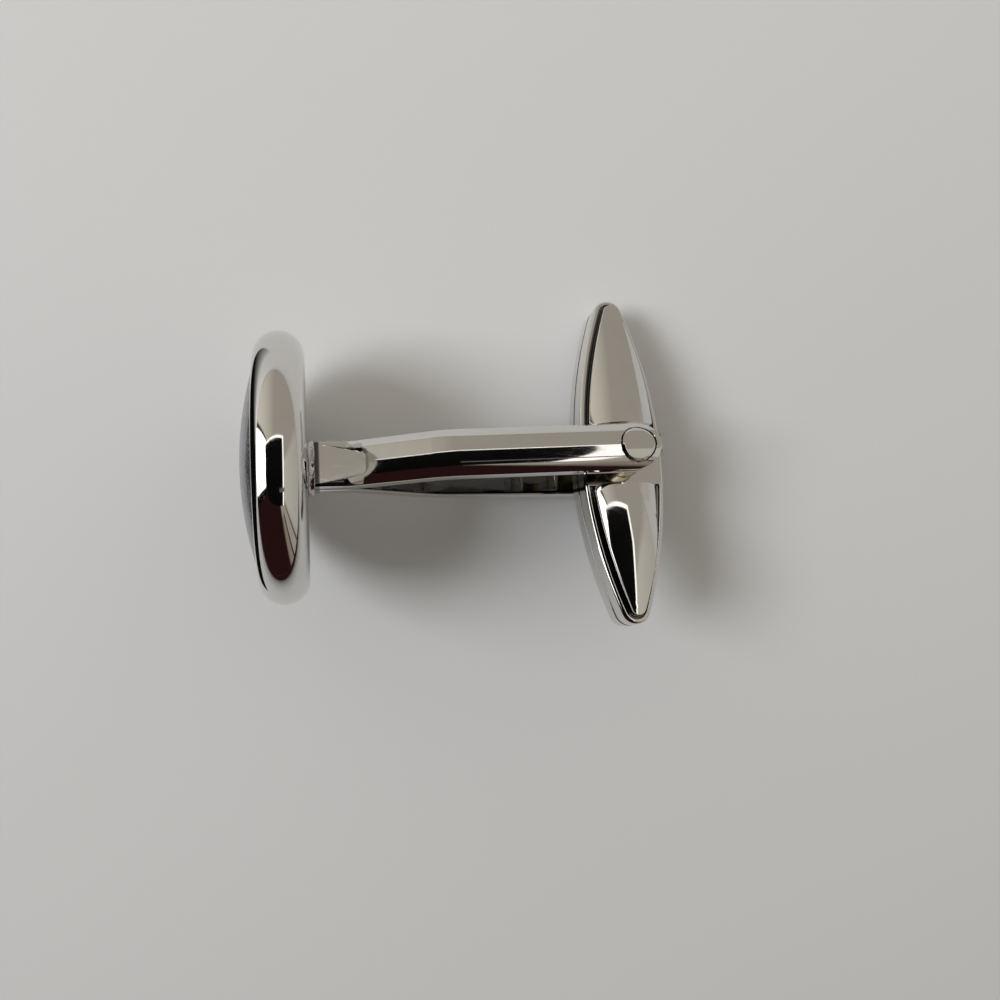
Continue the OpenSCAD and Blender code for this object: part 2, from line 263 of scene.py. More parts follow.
def make_piece(name, parts, material, body, nodes, crease=30.0, shade=None):
    """One mesh object from parts of own-axes points and quads, smooth but for creases sharper than the
    given angle. shade gives each part's painted shade at its points, which the material paints as a dark colour."""
    points, quads, count = [], [], 0
    for part_points, part_quads in parts:
        part_points = np.asarray(part_points, float).reshape(-1, 3)
        points.append(part_points)
        quads.append(part_quads + count)
        count += len(part_points)
    points, kept, corners, starts = welded(np.concatenate(points), np.concatenate(quads))
    mesh = bpy.data.meshes.new(name)
    mesh.vertices.add(len(points))
    mesh.vertices.foreach_set("co", laid_down(points).astype(np.float32).ravel())
    mesh.loops.add(len(corners))
    mesh.loops.foreach_set("vertex_index", corners.astype(np.int32))
    mesh.polygons.add(len(starts))
    mesh.polygons.foreach_set("loop_start", starts.astype(np.int32))
    mesh.update(calc_edges=True)
    mesh.validate()
    mesh.polygons.foreach_set("use_smooth", np.ones(len(mesh.polygons), bool))
    mesh.set_sharp_from_angle(angle=math.radians(crease))
    if shade is not None:
        # Painted shade, kept on the points for the plating to darken its colour
        dark = mesh.attributes.new("crevice", "FLOAT", "POINT")
        values = np.concatenate([np.ravel(v) for v in shade])
        dark.data.foreach_set("value", values[kept].astype(np.float32))
    mesh.materials.append(material)
    piece = in_scene(name, mesh)
    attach(piece, body)
    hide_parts(*nodes)
    if not len(mesh.polygons):
        raise RuntimeError(name + " has no faces")
    return piece


def arc(centre, radius, start, end, count):
    """Points of an arc in a plane, from one angle to another, in degrees."""
    a = np.radians(np.linspace(start, end, count))
    return np.stack([centre[0] + radius * np.cos(a), centre[1] + radius * np.sin(a)], 1)


def spaced(line, step):
    """A polyline with more points, so that no stretch is longer than the step."""
    line = np.asarray(line, float)
    lengths = np.linalg.norm(np.diff(line, axis=0), axis=1)
    counts = np.maximum(np.ceil(lengths / step).astype(int), 1)
    start = np.repeat(np.arange(len(counts)), counts)
    share = (np.arange(counts.sum()) - np.repeat(np.cumsum(counts) - counts, counts)) / counts[start]
    inner = line[start] + (line[start + 1] - line[start]) * share[:, None]
    return np.concatenate([inner, line[-1:]])


def revolved(profile, centre, axis, count=192, wobble=None):
    """Surface of revolution, faced outwards. The profile's points are the place along the axis and the
    radius; the surface point at angle a is centre + axis * place + radius * (side * cos a + up * sin a).
    wobble(place, radius, a) may return changed places and radii."""
    profile = np.asarray(profile, float)
    a = np.linspace(0, 2 * np.pi, count, endpoint=False)[:, None]
    axis = np.asarray(axis, float)
    side = np.array([0.0, 1.0, 0.0]) if abs(axis[1]) < 0.5 else np.array([1.0, 0.0, 0.0])
    up = np.cross(axis, side)
    place, radius = np.broadcast_arrays(profile[None, :, 0], profile[None, :, 1] + 0 * a)
    if wobble is not None:
        place, radius = wobble(place, radius, a)
    points = (np.asarray(centre, float) + place[..., None] * axis
              + radius[..., None] * (np.cos(a)[..., None] * side + np.sin(a)[..., None] * up))
    return outward((points, grid_quads(count, len(profile), round_rows=True)))


def turned_out(part):
    """The same surface with its faces turned over."""
    return part[0], part[1][:, ::-1]


def outward(part):
    """The surface with its faces turned so that its volume is positive."""
    points = np.asarray(part[0], float).reshape(-1, 3)
    a, b, c, d = (points[part[1][:, i]] for i in range(4))
    volume = (np.einsum("ij,ij->i", a, np.cross(b, c)) + np.einsum("ij,ij->i", a, np.cross(c, d))).sum()
    return (part[0], part[1]) if volume > 0 else turned_out(part)


# Finishes

class Nodes:
    """Short way to put nodes into a material or a world and join them."""

    def __init__(self, name, owner=None):
        self.material = owner or bpy.data.materials.new(name)
        self.material.use_nodes = True
        self.tree = self.material.node_tree
        self.shader = next(n for n in self.tree.nodes if n.type in ("BSDF_PRINCIPLED", "BACKGROUND"))

    def put(self, socket, value):
        """Feeds a socket from another one, or sets it to a value. A colour of three parts is opaque."""
        if isinstance(value, bpy.types.NodeSocket):
            self.tree.links.new(value, socket)
        else:
            socket.default_value = (*value, 1) if socket.type == "RGBA" and len(value) == 3 else value

    def add(self, kind, inputs=(), **settings):
        """A node with its settings, and its inputs as values or as the sockets that feed them."""
        node = self.tree.nodes.new(kind)
        for key, value in settings.items():
            setattr(node, key, value)
        for key, value in dict(inputs).items():
            self.put(node.inputs[key], value)
        return node

    def feed(self, key, value):
        """Sets one input of the shader."""
        self.put(self.shader.inputs[key], value)

    def place(self):
        """Where a point is on the piece, in metres."""
        return self.add("ShaderNodeTexCoord").outputs["Object"]

    def noise(self, scale, detail=2.0, rough=0.5):
        """Even noise with the given number of lumps per metre."""
        return self.add("ShaderNodeTexNoise", {"Vector": self.place(), "Scale": scale, "Detail": detail,
                                               "Roughness": rough}).outputs["Fac"]

    def ranged(self, value, low, high, to_low=0.0, to_high=1.0):
        """The value carried from one range to another, and kept in it. The first may run downwards."""
        return self.add("ShaderNodeMapRange", {"Value": value, "From Min": low, "From Max": high,
                                               "To Min": to_low, "To Max": to_high}).outputs["Result"]

    def mixed(self, share, first, second):
        """Two colours mixed by a share."""
        return self.add("ShaderNodeMix", {0: share, 6: first, 7: second}, data_type="RGBA").outputs[2]

    def sum(self, first, second, operation="ADD"):
        """Two values put together."""
        return self.add("ShaderNodeMath", {0: first, 1: second}, operation=operation).outputs[0]

    def product(self, *values):
        """Values multiplied by each other."""
        whole = values[0]
        for value in values[1:]:
            whole = self.sum(whole, value, "MULTIPLY")
        return whole

    def along(self, vector, way):
        """How far a vector goes in a direction."""
        node = self.add("ShaderNodeVectorMath", {0: vector, 1: tuple(way)}, operation="DOT_PRODUCT")
        return node.outputs["Value"]

    def between(self, value, low, high, soft):
        """1 between two values and 0 outside them, with soft borders."""
        return self.product(self.ranged(value, low - soft / 2, low + soft / 2),
                            self.ranged(value, high + soft / 2, high - soft / 2))

    def bump(self, height, depth, after=None):
        """A normal from a height between 0 and 1, which is the given number of metres deep."""
        inputs = {"Height": height, "Strength": 1.0, "Distance": depth}
        if after is not None:
            inputs["Normal"] = after
        return self.add("ShaderNodeBump", inputs).outputs["Normal"]


def scaled(colour, share):
    """A colour made darker or lighter."""
    return tuple(share * c for c in colour)


def plated(name, colour, gloss, ripple, pits=0.0, haze=0.0):
    """Polished plating: a faint long ripple of the metal under it, as deep as the given thousandths of a
    millimetre, finer skin and polishing marks along X, a little haze in clouds, pits where asked, and
    painted shade, a dark colour where the mesh's values say that shade falls."""
    n = Nodes(name)
    depth = ripple * MM / 1000
    cloud = n.noise(500.0, 4.0, 0.6)
    closer = {0: n.place(), 1: (900.0, 9000.0, 9000.0)}
    closer = n.add("ShaderNodeVectorMath", closer, operation="MULTIPLY").outputs["Vector"]
    marks = n.add("ShaderNodeTexNoise", {"Vector": closer, "Scale": 1.0, "Detail": 3.0}).outputs["Fac"]
    n.feed("Metallic", 1.0)
    dull = n.mixed(n.ranged(cloud, 0.45, 0.75, 0.0, 0.35), colour, scaled(colour, 0.88))
    crevice = n.add("ShaderNodeAttribute", attribute_name="crevice", attribute_type="GEOMETRY")
    crevice = n.ranged(crevice.outputs["Fac"], 0.0, 1.0, 0.0, 0.93)
    # Painted shade: the colour goes nearly black where the mesh asks for shade
    n.feed("Base Color", n.mixed(crevice, dull, (0.02, 0.018, 0.017)))
    n.feed("Roughness", n.sum(n.ranged(cloud, 0.35, 0.75, gloss, gloss * 2.2 + haze),
                              n.ranged(marks, 0.5, 0.8, 0.0, 0.05)))
    normal = n.bump(n.noise(700.0, 2.0, 0.45), depth)
    normal = n.bump(n.noise(4200.0), depth * 0.10, normal)
    normal = n.bump(marks, depth * 0.03, normal)
    if pits:
        spots = n.add("ShaderNodeTexVoronoi", {"Vector": n.place(), "Scale": pits}).outputs["Distance"]
        normal = n.bump(n.ranged(spots, 0.0, 0.32), 0.03 * MM, normal)
    n.feed("Normal", normal)
    return n.material


def glazed(name, dark, pale):
    """Glossy insert: two tones in soft clouds with fine grains in them, under a clear coat."""
    n = Nodes(name)
    cloud, grain = n.noise(900.0, 5.0, 0.62), n.noise(6000.0, 3.0, 0.6)
    both = n.sum(n.ranged(cloud, 0.32, 0.68, 0.0, 0.8), n.ranged(grain, 0.35, 0.75, 0.0, 0.3))
    n.feed("Base Color", n.mixed(both, dark, pale))
    n.feed("Roughness", n.ranged(grain, 0.3, 0.7, 0.18, 0.32))
    for key, value in (("Coat Weight", 0.35), ("Coat Roughness", 0.03), ("Specular IOR Level", 0.35),
                       ("IOR", 1.5)):
        n.feed(key, value)
    n.feed("Normal", n.bump(cloud, 0.002 * MM))
    return n.material


def matt(name, colour, lumps):
    """Dull material whose tone and roughness vary in small lumps."""
    n = Nodes(name)
    fine = n.noise(lumps, 4.0, 0.6)
    n.feed("Base Color", n.mixed(n.ranged(fine, 0.3, 0.7), scaled(colour, 0.8), colour))
    n.feed("Roughness", n.ranged(fine, 0.3, 0.7, 0.6, 0.85))
    n.feed("Normal", n.bump(fine, 0.01 * MM))
    return n.material


def glowing(name, colour, fade=None):
    """Plain tone of a card that only reflections see, on the card's front. A fade is a direction, how
    far along it the card is still clear and how far along it the card is solid."""
    n = Nodes(name)
    n.tree.nodes.remove(n.shader)
    share = n.sum(1.0, n.add("ShaderNodeNewGeometry").outputs["Backfacing"], "SUBTRACT")
    if fade:
        way, clear_at, solid_at = fade
        share = n.product(n.ranged(n.along(n.place(), way), clear_at, solid_at), share)
    glow = n.add("ShaderNodeEmission", {"Color": colour}).outputs[0]
    clear = n.add("ShaderNodeBsdfTransparent").outputs[0]
    both = n.add("ShaderNodeMixShader", {0: share, 1: clear, 2: glow}).outputs[0]
    out = next(x for x in n.tree.nodes if x.type == "OUTPUT_MATERIAL")
    n.tree.links.new(both, out.inputs["Surface"])
    return n.material


# Head and foot

def cup_profile(s):
    """Place along the post and radius of the cup, from the middle of its seat round to the middle of
    its recess: seat, lip, half-round rim, flat back, recess."""
    rim = s.thick / 2
    middle = s.radius - rim
    seat = middle - s.lip
    e = min(s.edge, s.lip / 3)
    line = [[-s.back, 0.0], [-s.back, seat], [-(s.thick - e), seat]]
    line += list(arc((-(s.thick - e), seat + e), e, 270, 180, 6)[1:])
    line += list(arc((-rim, middle), rim, 180, 0, 97))
    hole = s.foot + 0.02 * MM
    line += [[0.0, hole + s.edge]]
    line += list(arc((-s.edge, hole + s.edge), s.edge, 0, -90, 6))
    line += [[-s.foot_sunk, hole], [-s.foot_sunk, 0.0]]
    return spaced(line, 0.35 * MM)


def insert_profile(s):
    """Place along the post and radius of the insert: a flat back, a straight side, and a cap of a large
    ball that a small tangent circle joins to the side."""
    seat = s.radius - s.thick / 2 - s.lip
    r = seat - s.insert_gap
    foot = -(s.thick - s.dome_edge)
    front = -(s.thick + s.dome)
    high = foot - front
    reach = r - s.dome_edge
    ball = (reach ** 2 + high ** 2 - s.dome_edge ** 2) / (2 * (high - s.dome_edge))
    turn = math.degrees(math.asin(reach / (ball - s.dome_edge)))
    line = [[-s.back - s.pad, 0.0], [-s.back - s.pad, r], [foot, r]]
    line += list(arc((foot, reach), s.dome_edge, 90, 180 - turn, 24)[1:])
    line += list(arc((front + ball, 0.0), ball, 180 - turn, 180, 72)[1:])
    line[-1][1] = 0.0
    return spaced(line, 0.3 * MM)


def foot_profile(s):
    """Place along the post and radius of the foot: its sunk end, a hollow meniscus of solder on the
    head's back that runs up its side, and its rounded top."""
    out = s.foot + s.solder
    lift = 0.012 * MM
    line = [[-s.foot_sunk, 0.0], [-s.foot_sunk, s.foot], [0.0, s.foot], [lift, s.foot + 0.02 * MM],
            [lift, out]]
    t = np.linspace(0, 1, 22)[1:]
    top, neck = s.foot_high - 0.05 * MM, s.foot_top + 0.03 * MM
    line += [[lift + (top - lift) * v ** 1.6, out + (neck - out) * (1 - (1 - v) ** 2.4)] for v in t]
    line += [[s.foot_high, s.foot_top - 0.04 * MM], [s.foot_high, 0.0]]
    return spaced(line, 0.3 * MM)


class CUFFLINK_OT_head(bpy.types.Operator):
    """Makes the plated cup of the head"""
    bl_idname = "cufflink.head"
    bl_label = "Head"

    def execute(self, context):
        s, f = settings("head", "finish")
        metal = plated("head_plating", tuple(f.plating), f.gloss, f.ripple)
        cup = revolved(cup_profile(s), (0, 0, 0), (1, 0, 0), 288)
        make_piece("rim_and_back", [cup], metal, "post", ["head_cup"])
        return {"FINISHED"}


class CUFFLINK_OT_insert(bpy.types.Operator):
    """Makes the glazed insert and gives the pad behind it its finish"""
    bl_idname = "cufflink.insert"
    bl_label = "Insert"

    def execute(self, context):
        s, f = settings("head", "finish")
        glaze = glazed("insert_glaze", tuple(f.insert), tuple(f.insert_pale))
        dome = revolved(insert_profile(s), (0, 0, 0), (1, 0, 0), 288)
        make_piece("domed_insert", [dome], glaze, "post", ["front_insert"])
        pad = frame["nodes"]["insert_pad"]
        pad.data.materials.clear()
        pad.data.materials.append(matt("pad_foam", tuple(f.pad), 4000.0))
        return {"FINISHED"}


class CUFFLINK_OT_foot(bpy.types.Operator):
    """Makes the foot with the solder round it"""
    bl_idname = "cufflink.foot"
    bl_label = "Foot"

    def execute(self, context):
        s, f = settings("head", "finish")

        def uneven(place, radius, a):
            """The solder runs out in soft lobes and is a little lumpy: its width varies by sines of 3, 5
            and 8 turns, and its surface by shorter ones."""
            lobes = 0.5 + 0.22 * np.sin(3 * a + 0.7) + 0.17 * np.sin(5 * a + 2.1) + 0.11 * np.sin(8 * a)
            spread = np.clip((radius - s.foot_top) / s.solder, 0, 1) * (place > 0)
            high = place / MM
            waves = np.sin(7 * a + 9 * high) + np.sin(11 * a + 1.3) * np.sin(13 * high + 2 * a)
            lumps = 0.012 * MM * waves * (high > 0.03) * (radius > MM)
            return place, radius - spread * lobes * s.solder * 0.5 + lumps

        metal = plated("solder_plating", tuple(f.solder), 0.08, f.ripple * 6, pits=2600.0, haze=0.08)
        foot = revolved(foot_profile(s), (0, 0, 0), (1, 0, 0), 144, uneven)
        make_piece("foot_with_solder", [foot], metal, "post", ["post_foot"])
        return {"FINISHED"}


# Arms

def rounded_path(x, s):
    """Height of an arm's inner face above the middle plane, and its slope, at places x along the post:
    level to the split, up the ramp to the bend, then nearly level, with each bend a parabola over a
    short stretch."""
    ramp = (s.gap_bend / 2) / (s.bend - s.split)
    blade = (s.gap_rivet - s.gap_bend) / 2 / (s.rivet_x - s.bend)

    def bend(at, change, reach):
        u = np.clip(x - at + reach, 0, 2 * reach)
        return change * (u ** 2 / (4 * reach) + np.maximum(x - at - reach, 0)), change * u / (2 * reach)
    z1, g1 = bend(s.split, ramp, 0.55 * MM)
    z2, g2 = bend(s.bend, blade - ramp, 0.9 * MM)
    return z1 + z2, g1 + g2


def arm_stations(s, start):
    """Places along the post: even along the arm, closer by the flat's shoulder, the bend and the rivet,
    and even by angle in the round end."""
    flat, bend, rivet = (v / MM for v in (s.flat_end, s.bend, s.rivet_x))
    ends = (start / MM, flat - 0.5, flat + 0.15, bend - 0.9, bend + 1.0, rivet - 1.15, rivet)
    steps = (0.05, 0.02, 0.1, 0.06, 0.25, 0.035)
    runs = [a + step * np.arange(math.ceil((b - a) / step - 0.01))
            for a, b, step in zip(ends, ends[1:], steps)]
    end = rivet + s.width / 2 / MM * np.sin(np.radians(np.linspace(0, 90, 46)))
    return np.concatenate(runs + [end]) * MM


def smooth_step(v):
    """0 below 0, 1 above 1, and a smooth rise between: 3 v^2 - 2 v^3."""
    v = np.clip(v, 0, 1)
    return v * v * (3 - 2 * v)


def arm_surface(s, start, side):
    """One arm as sections across the post. At each place x the section has a flat inner face, two
    upright sides with rounded corners and a crown, a circle's arc through both sides whose height
    changes from root to ramp to blade. A pressed flat cuts the crown at the root, and a round recess
    cuts it at the rivet."""
    x = arm_stations(s, start)
    z0, slope = rounded_path(x, s)
    steep = np.sqrt(1 + slope ** 2)
    widening = (s.width - s.root_width) / 2 * (x - start) / (s.bend - start)
    half = np.where(x < s.bend, s.root_width / 2 + widening, s.width / 2)
    beyond = np.clip((x - s.rivet_x) / (s.width / 2), 0, 1)
    # The last section stays open by a hair
    half = np.maximum(half * np.sqrt(1 - beyond ** 2), 0.0012 * MM)[:, None]
    on_ramp = smooth_step((x - s.split + 0.6 * MM) / (1.2 * MM))
    on_blade = smooth_step((x - s.bend + 0.9 * MM) / (1.8 * MM))
    crown = s.root_crown + (s.ramp_crown - s.root_crown) * on_ramp + (s.crown - s.ramp_crown) * on_blade
    r = np.minimum(s.rounding, half * 0.45)
    ball = (((s.width / 2) ** 2 + crown ** 2) / (2 * crown))[:, None]
    x, tall, crown = x[:, None], steep[:, None], crown[:, None]

    # Columns over the crown keep to the flat's border as it narrows, and spread out again beyond it
    narrowing = np.clip(x / (s.flat_end - s.flat_corner), 0, 1)
    border = (s.flat_root + (s.flat_width - s.flat_root) * narrowing) / 2
    edge = half - r * 0.6
    spreading = smooth_step((x - s.flat_end - 0.1 * MM) / (2.5 * MM))
    follow = np.minimum(border, edge * 0.97) + (0.62 * half - border) * spreading
    follow = np.minimum(follow, edge * 0.97)
    inner = np.concatenate([np.linspace(0, 0.93, 18)[:-1], np.linspace(0.93, 1.0, 6)])
    outer = 1 - (1 - np.linspace(0, 1, 15)[1:]) ** 1.3
    right = np.concatenate([inner * follow, follow + (edge - follow) * outer], 1)
    y_crown = np.concatenate([-right[:, :0:-1], right], 1)
    z_crown = (z0 + s.edge * steep)[:, None] + tall * (crown - ball + np.sqrt(ball ** 2 - y_crown ** 2))
    # The end is dressed down a little all round
    z_crown = z_crown - tall * 0.10 * MM * (1 - np.sqrt(1 - beyond)[:, None]) ** 3

    # Pressed flat: it narrows and rises away from the head, and has a rounded shoulder at its far end
    flat_z = s.edge + s.root_crown - s.flat_depth + x * math.tan(math.radians(s.flat_tilt))
    dx = np.maximum(x - (s.flat_end - s.flat_corner), 0)
    dy = np.maximum(np.abs(y_crown) - (border - s.flat_corner), 0)
    press = smooth_step((s.flat_corner - np.hypot(dx, dy)) / (0.12 * MM) + 0.5)
    over = np.maximum(z_crown - flat_z, 0)
    # Painted shade in a thin line along the flat's far border
    outline = 3.6 * press * (1 - press) * np.minimum(over / (0.06 * MM), 1)
    z_crown = z_crown - over * press

    # Recess of the rivet head
    seat = s.gap_rivet / 2 + (s.edge + s.crown) * steep[-1] - s.rivet_sunk
    away = np.hypot(x - s.rivet_x, y_crown)
    dip = smooth_step((s.rivet_head + s.rivet_gap + 0.02 * MM - away) / (0.04 * MM))
    z_crown = z_crown - np.maximum(z_crown - seat, 0) * dip

    # Sides with rounded corners, and the inner face
    low = z0[:, None]
    turn = np.radians([0, 22, 45, 68, 90])
    rim = half - r * 0.6 * (1 - np.array([0.0, 0.35, 0.7, 0.92, 1.0]))
    z_round = z_crown[:, -1:] - r * np.array([0.0, 0.22, 0.55, 0.9, 1.25])
    up_y, up_z = half - r * (1 - np.cos(turn)), low + r * (1 - np.sin(turn))
    right_y = np.concatenate([rim, half, up_y], 1)
    right_z = np.concatenate([z_round, (z_round[:, -1:] + up_z[:, :1]) / 2, up_z], 1)
    inner_y = (half - r) * np.linspace(1, -1, 15)[1:-1]
    y = np.concatenate([y_crown[:, 1:-1], right_y, inner_y, -right_y[:, ::-1]], 1)
    z = np.concatenate([z_crown[:, 1:-1], right_z, low + 0 * inner_y, right_z[:, ::-1]], 1)
    points = np.stack([x + 0 * y, y, side * z], -1)
    rows, columns = y.shape

    # Painted shade in the slot between the arms, in a line where the solder ends and in a line round the flat
    over_crown, sides = y_crown.shape[1] - 2, right_y.shape[1] - 3
    across = np.zeros(columns)
    across[over_crown + sides:columns - sides] = s.slot_painted_shade
    # Painted shade in a line beside the solder
    shade = np.maximum(across, 0.95 * (1 - smooth_step((x - s.painted_solder_shade_end) / (0.12 * MM))))
    # Painted shade in a thin line round the flat
    shade[:, :over_crown] = np.maximum(shade[:, :over_crown], outline[:, 1:-1])

    body = (points, grid_quads(rows, columns, round_columns=True))
    first, last = ((np.stack([row, np.broadcast_to(row.mean(0), row.shape)], 0),
                    grid_quads(2, columns, round_columns=True)) for row in (points[0], points[-1]))
    parts = [body, turned_out(first), last]
    if side > 0:
        parts = [turned_out(part) for part in parts]
    return parts, [shade, *np.zeros((2, 2, columns))]


class CUFFLINK_OT_arms(bpy.types.Operator):
    """Makes the two arms of the fork"""
    bl_idname = "cufflink.arms"
    bl_label = "Arms"

    def execute(self, context):
        s, head, f = settings("fork", "head", "finish")
        metal = plated("arm_plating", tuple(f.plating), f.gloss, f.ripple)
        for name, node, side in (("near_arm", "upper_arm", 1), ("far_arm", "lower_arm", -1)):
            parts, shades = arm_surface(s, head.foot_high, side)
            make_piece(name, parts, metal, "post", [node], shade=shades)
        return {"FINISHED"}


class CUFFLINK_OT_rivet(bpy.types.Operator):
    """Makes the rivet with its two heads, filed down with the arms"""
    bl_idname = "cufflink.rivet"
    bl_label = "Rivet"

    def execute(self, context):
        """A head's dome is a ball's cap. The heads are filed down with the arm: beyond the dome's own
        height they follow its crown."""
        s, f = settings("fork", "finish")
        blade = (s.gap_rivet - s.gap_bend) / 2 / (s.rivet_x - s.bend)
        seat = s.gap_rivet / 2 + (s.edge + s.crown) * math.sqrt(1 + blade ** 2) - s.rivet_sunk
        top = seat + s.rivet_sunk + s.rivet_rise
        ball = (s.rivet_head ** 2 + s.rivet_dome ** 2) / (2 * s.rivet_dome)
        turn = math.degrees(math.asin(s.rivet_head / ball))
        small = 0.03 * MM
        half = np.array([[0.0, s.shank], [seat, s.shank], [seat, s.rivet_head - small],
                         [seat + small, s.rivet_head], [top - s.rivet_dome - 0.01 * MM, s.rivet_head],
                         *arc((top - ball, 0.0), ball, turn, 0, 28)])
        half[-1, 1] = 0.0
        both = np.concatenate([(half * [-1, 1])[::-1], half[1:]])
        points, quads = revolved(spaced(both, 0.1 * MM), (s.rivet_x, 0, 0), (0, 0, 1), 144)
        crown = ((s.width / 2) ** 2 + s.crown ** 2) / (2 * s.crown)
        x, y, z = points[..., 0] - s.rivet_x, points[..., 1], points[..., 2]
        filed = top - crown + np.sqrt(crown ** 2 - y ** 2)
        filed = filed - small * smooth_step((np.hypot(x, y) / s.rivet_head - 0.9) / 0.1)
        on_top = np.abs(z) > top - s.rivet_dome - 0.02 * MM
        points[..., 2] = np.where(on_top, np.sign(z) * filed, z)
        metal = plated("rivet_plating", FINISH["rivet"], f.gloss * 1.3, f.ripple * 1.4)
        make_piece("rivet_with_heads", [(points, quads)], metal, "post", ["pivot_rivet"])
        return {"FINISHED"}


# Toggle

# An inset that is further in than every border of a shell
FAR_IN = math.inf


def boat_outline(s):
    """Sizes of the toggle's outline, which has two large arcs, whose centres lie on X beyond the other
    side, and a small circle round each tip: how far the tips' circles lie from the middle, the large
    arcs' radius, how far their centres lie from the middle, and the turn at which they meet a tip."""
    half = s.long / 2 - s.tip
    big = ((s.wide / 2) ** 2 + half ** 2 - s.tip ** 2) / (s.wide - 2 * s.tip)
    beyond = big - s.wide / 2
    return half, big, beyond, math.atan2(half, beyond)


def toggle_stations(s):
    """Stations round the right half of the outline, from the tip at -Y to the tip at +Y: for each, the
    centre, the direction, the reach, and which part it is on, -1 and 1 for the tips and 0 between them.
    The outline drawn in by w is centre + direction * (reach - w). Stations on the large arc are set by
    their height Y on it; stations round the tips are even in angle."""
    half, big, beyond, limit = boat_outline(s)
    # In millimetres from the middle: over the hub's hole, by its side, up to the panels' end walls,
    # across them, along the panels and up to the tip's circle
    y = np.concatenate([
        np.linspace(0, 1.25, 26), 1.32 * np.sin(np.radians(np.linspace(73, 90, 9))),
        np.linspace(1.35, 1.76, 8), np.arange(1.775, 2.2, 0.014), np.linspace(2.22, 9.0, 96),
        np.linspace(9.05, half / MM, 9)[:-1],
    ]) * MM
    y = np.unique(np.round(y, 9))
    on_arc = np.arcsin(np.clip(np.concatenate([-y[:0:-1], y]) / big, -1, 1))
    round_tip = np.linspace(limit, np.pi / 2, 40)
    angle = np.concatenate([-round_tip[::-1], on_arc, round_tip])
    part = np.concatenate([0 * round_tip - 1, 0 * on_arc, 0 * round_tip + 1])
    centre = np.stack([np.where(part == 0, -beyond, 0.0), part * half], 1)
    reach = np.where(part == 0, big, s.tip)
    return centre, np.stack([np.cos(angle), np.sin(angle)], 1), reach, part


def spindle(x, y, s, full):
    """Height of the panels' spindle over the seam: a round bar along Y that falls away at the tips, by a
    power of the distance from the middle. In the full form, as on the near shell, a panel's edge stands
    over the rim and the bar keeps its height for longer, as far as the arms leave room when the toggle
    turns, and beside the arm the wing at -Y is dished a little, further on the side away from the head.
    The far shell, whose tip rests on the table, has the plain form."""
    width = s.wide / 2 - s.rim - s.groove
    shoulder, power = (s.shoulder, s.near_power) if full else (0.0, 2.0)
    rise = s.crest - s.wall - shoulder
    radius = (width ** 2 + rise ** 2) / (2 * rise)
    bar = radius - rise * (np.abs(y) / (s.long / 2)) ** power
    if full:
        past = np.clip((-y - s.panel_start - s.dish_slant * x) / s.dish_reach, 0, 1)
        bar = bar - s.dish * (1 - past) ** 2 * (y < 0)
    return s.crest - radius + np.sqrt(np.maximum(bar ** 2 - x ** 2, (0.02 * MM) ** 2))


def shell_top(x, y, inset, s, full):
    """Height of a shell's outer face: rim, groove, panels and the level middle; and its painted shade, dark
    in the groove's bed. A panel begins where the point is inside the panel's rounded outline, and rises to
    the spindle. The groove runs round the rim, and the middle between the panels is level with the rim."""
    flank, bank, corner = 0.07 * MM, 0.05 * MM, s.corner
    deep = inset - (s.rim + s.groove)
    past = np.abs(y) - s.panel_start
    rounded = corner - np.hypot(np.maximum(corner - deep, 0), np.maximum(corner - past, 0))
    inside = np.where((deep < corner) & (past < corner), rounded, np.minimum(deep, past))
    up = smooth_step(inside / flank + 0.5)
    bed = smooth_step((inset - s.rim) / bank + 0.5) * smooth_step((past + 0.04 * MM) / bank)
    ground = s.wall - s.groove_deep * bed
    rise = np.maximum(spindle(x, y, s, full) - ground, 0)
    # The second value is painted shade in the groove's bed
    return ground + rise * up, 0.85 * (bed * (1 - up)) ** 2


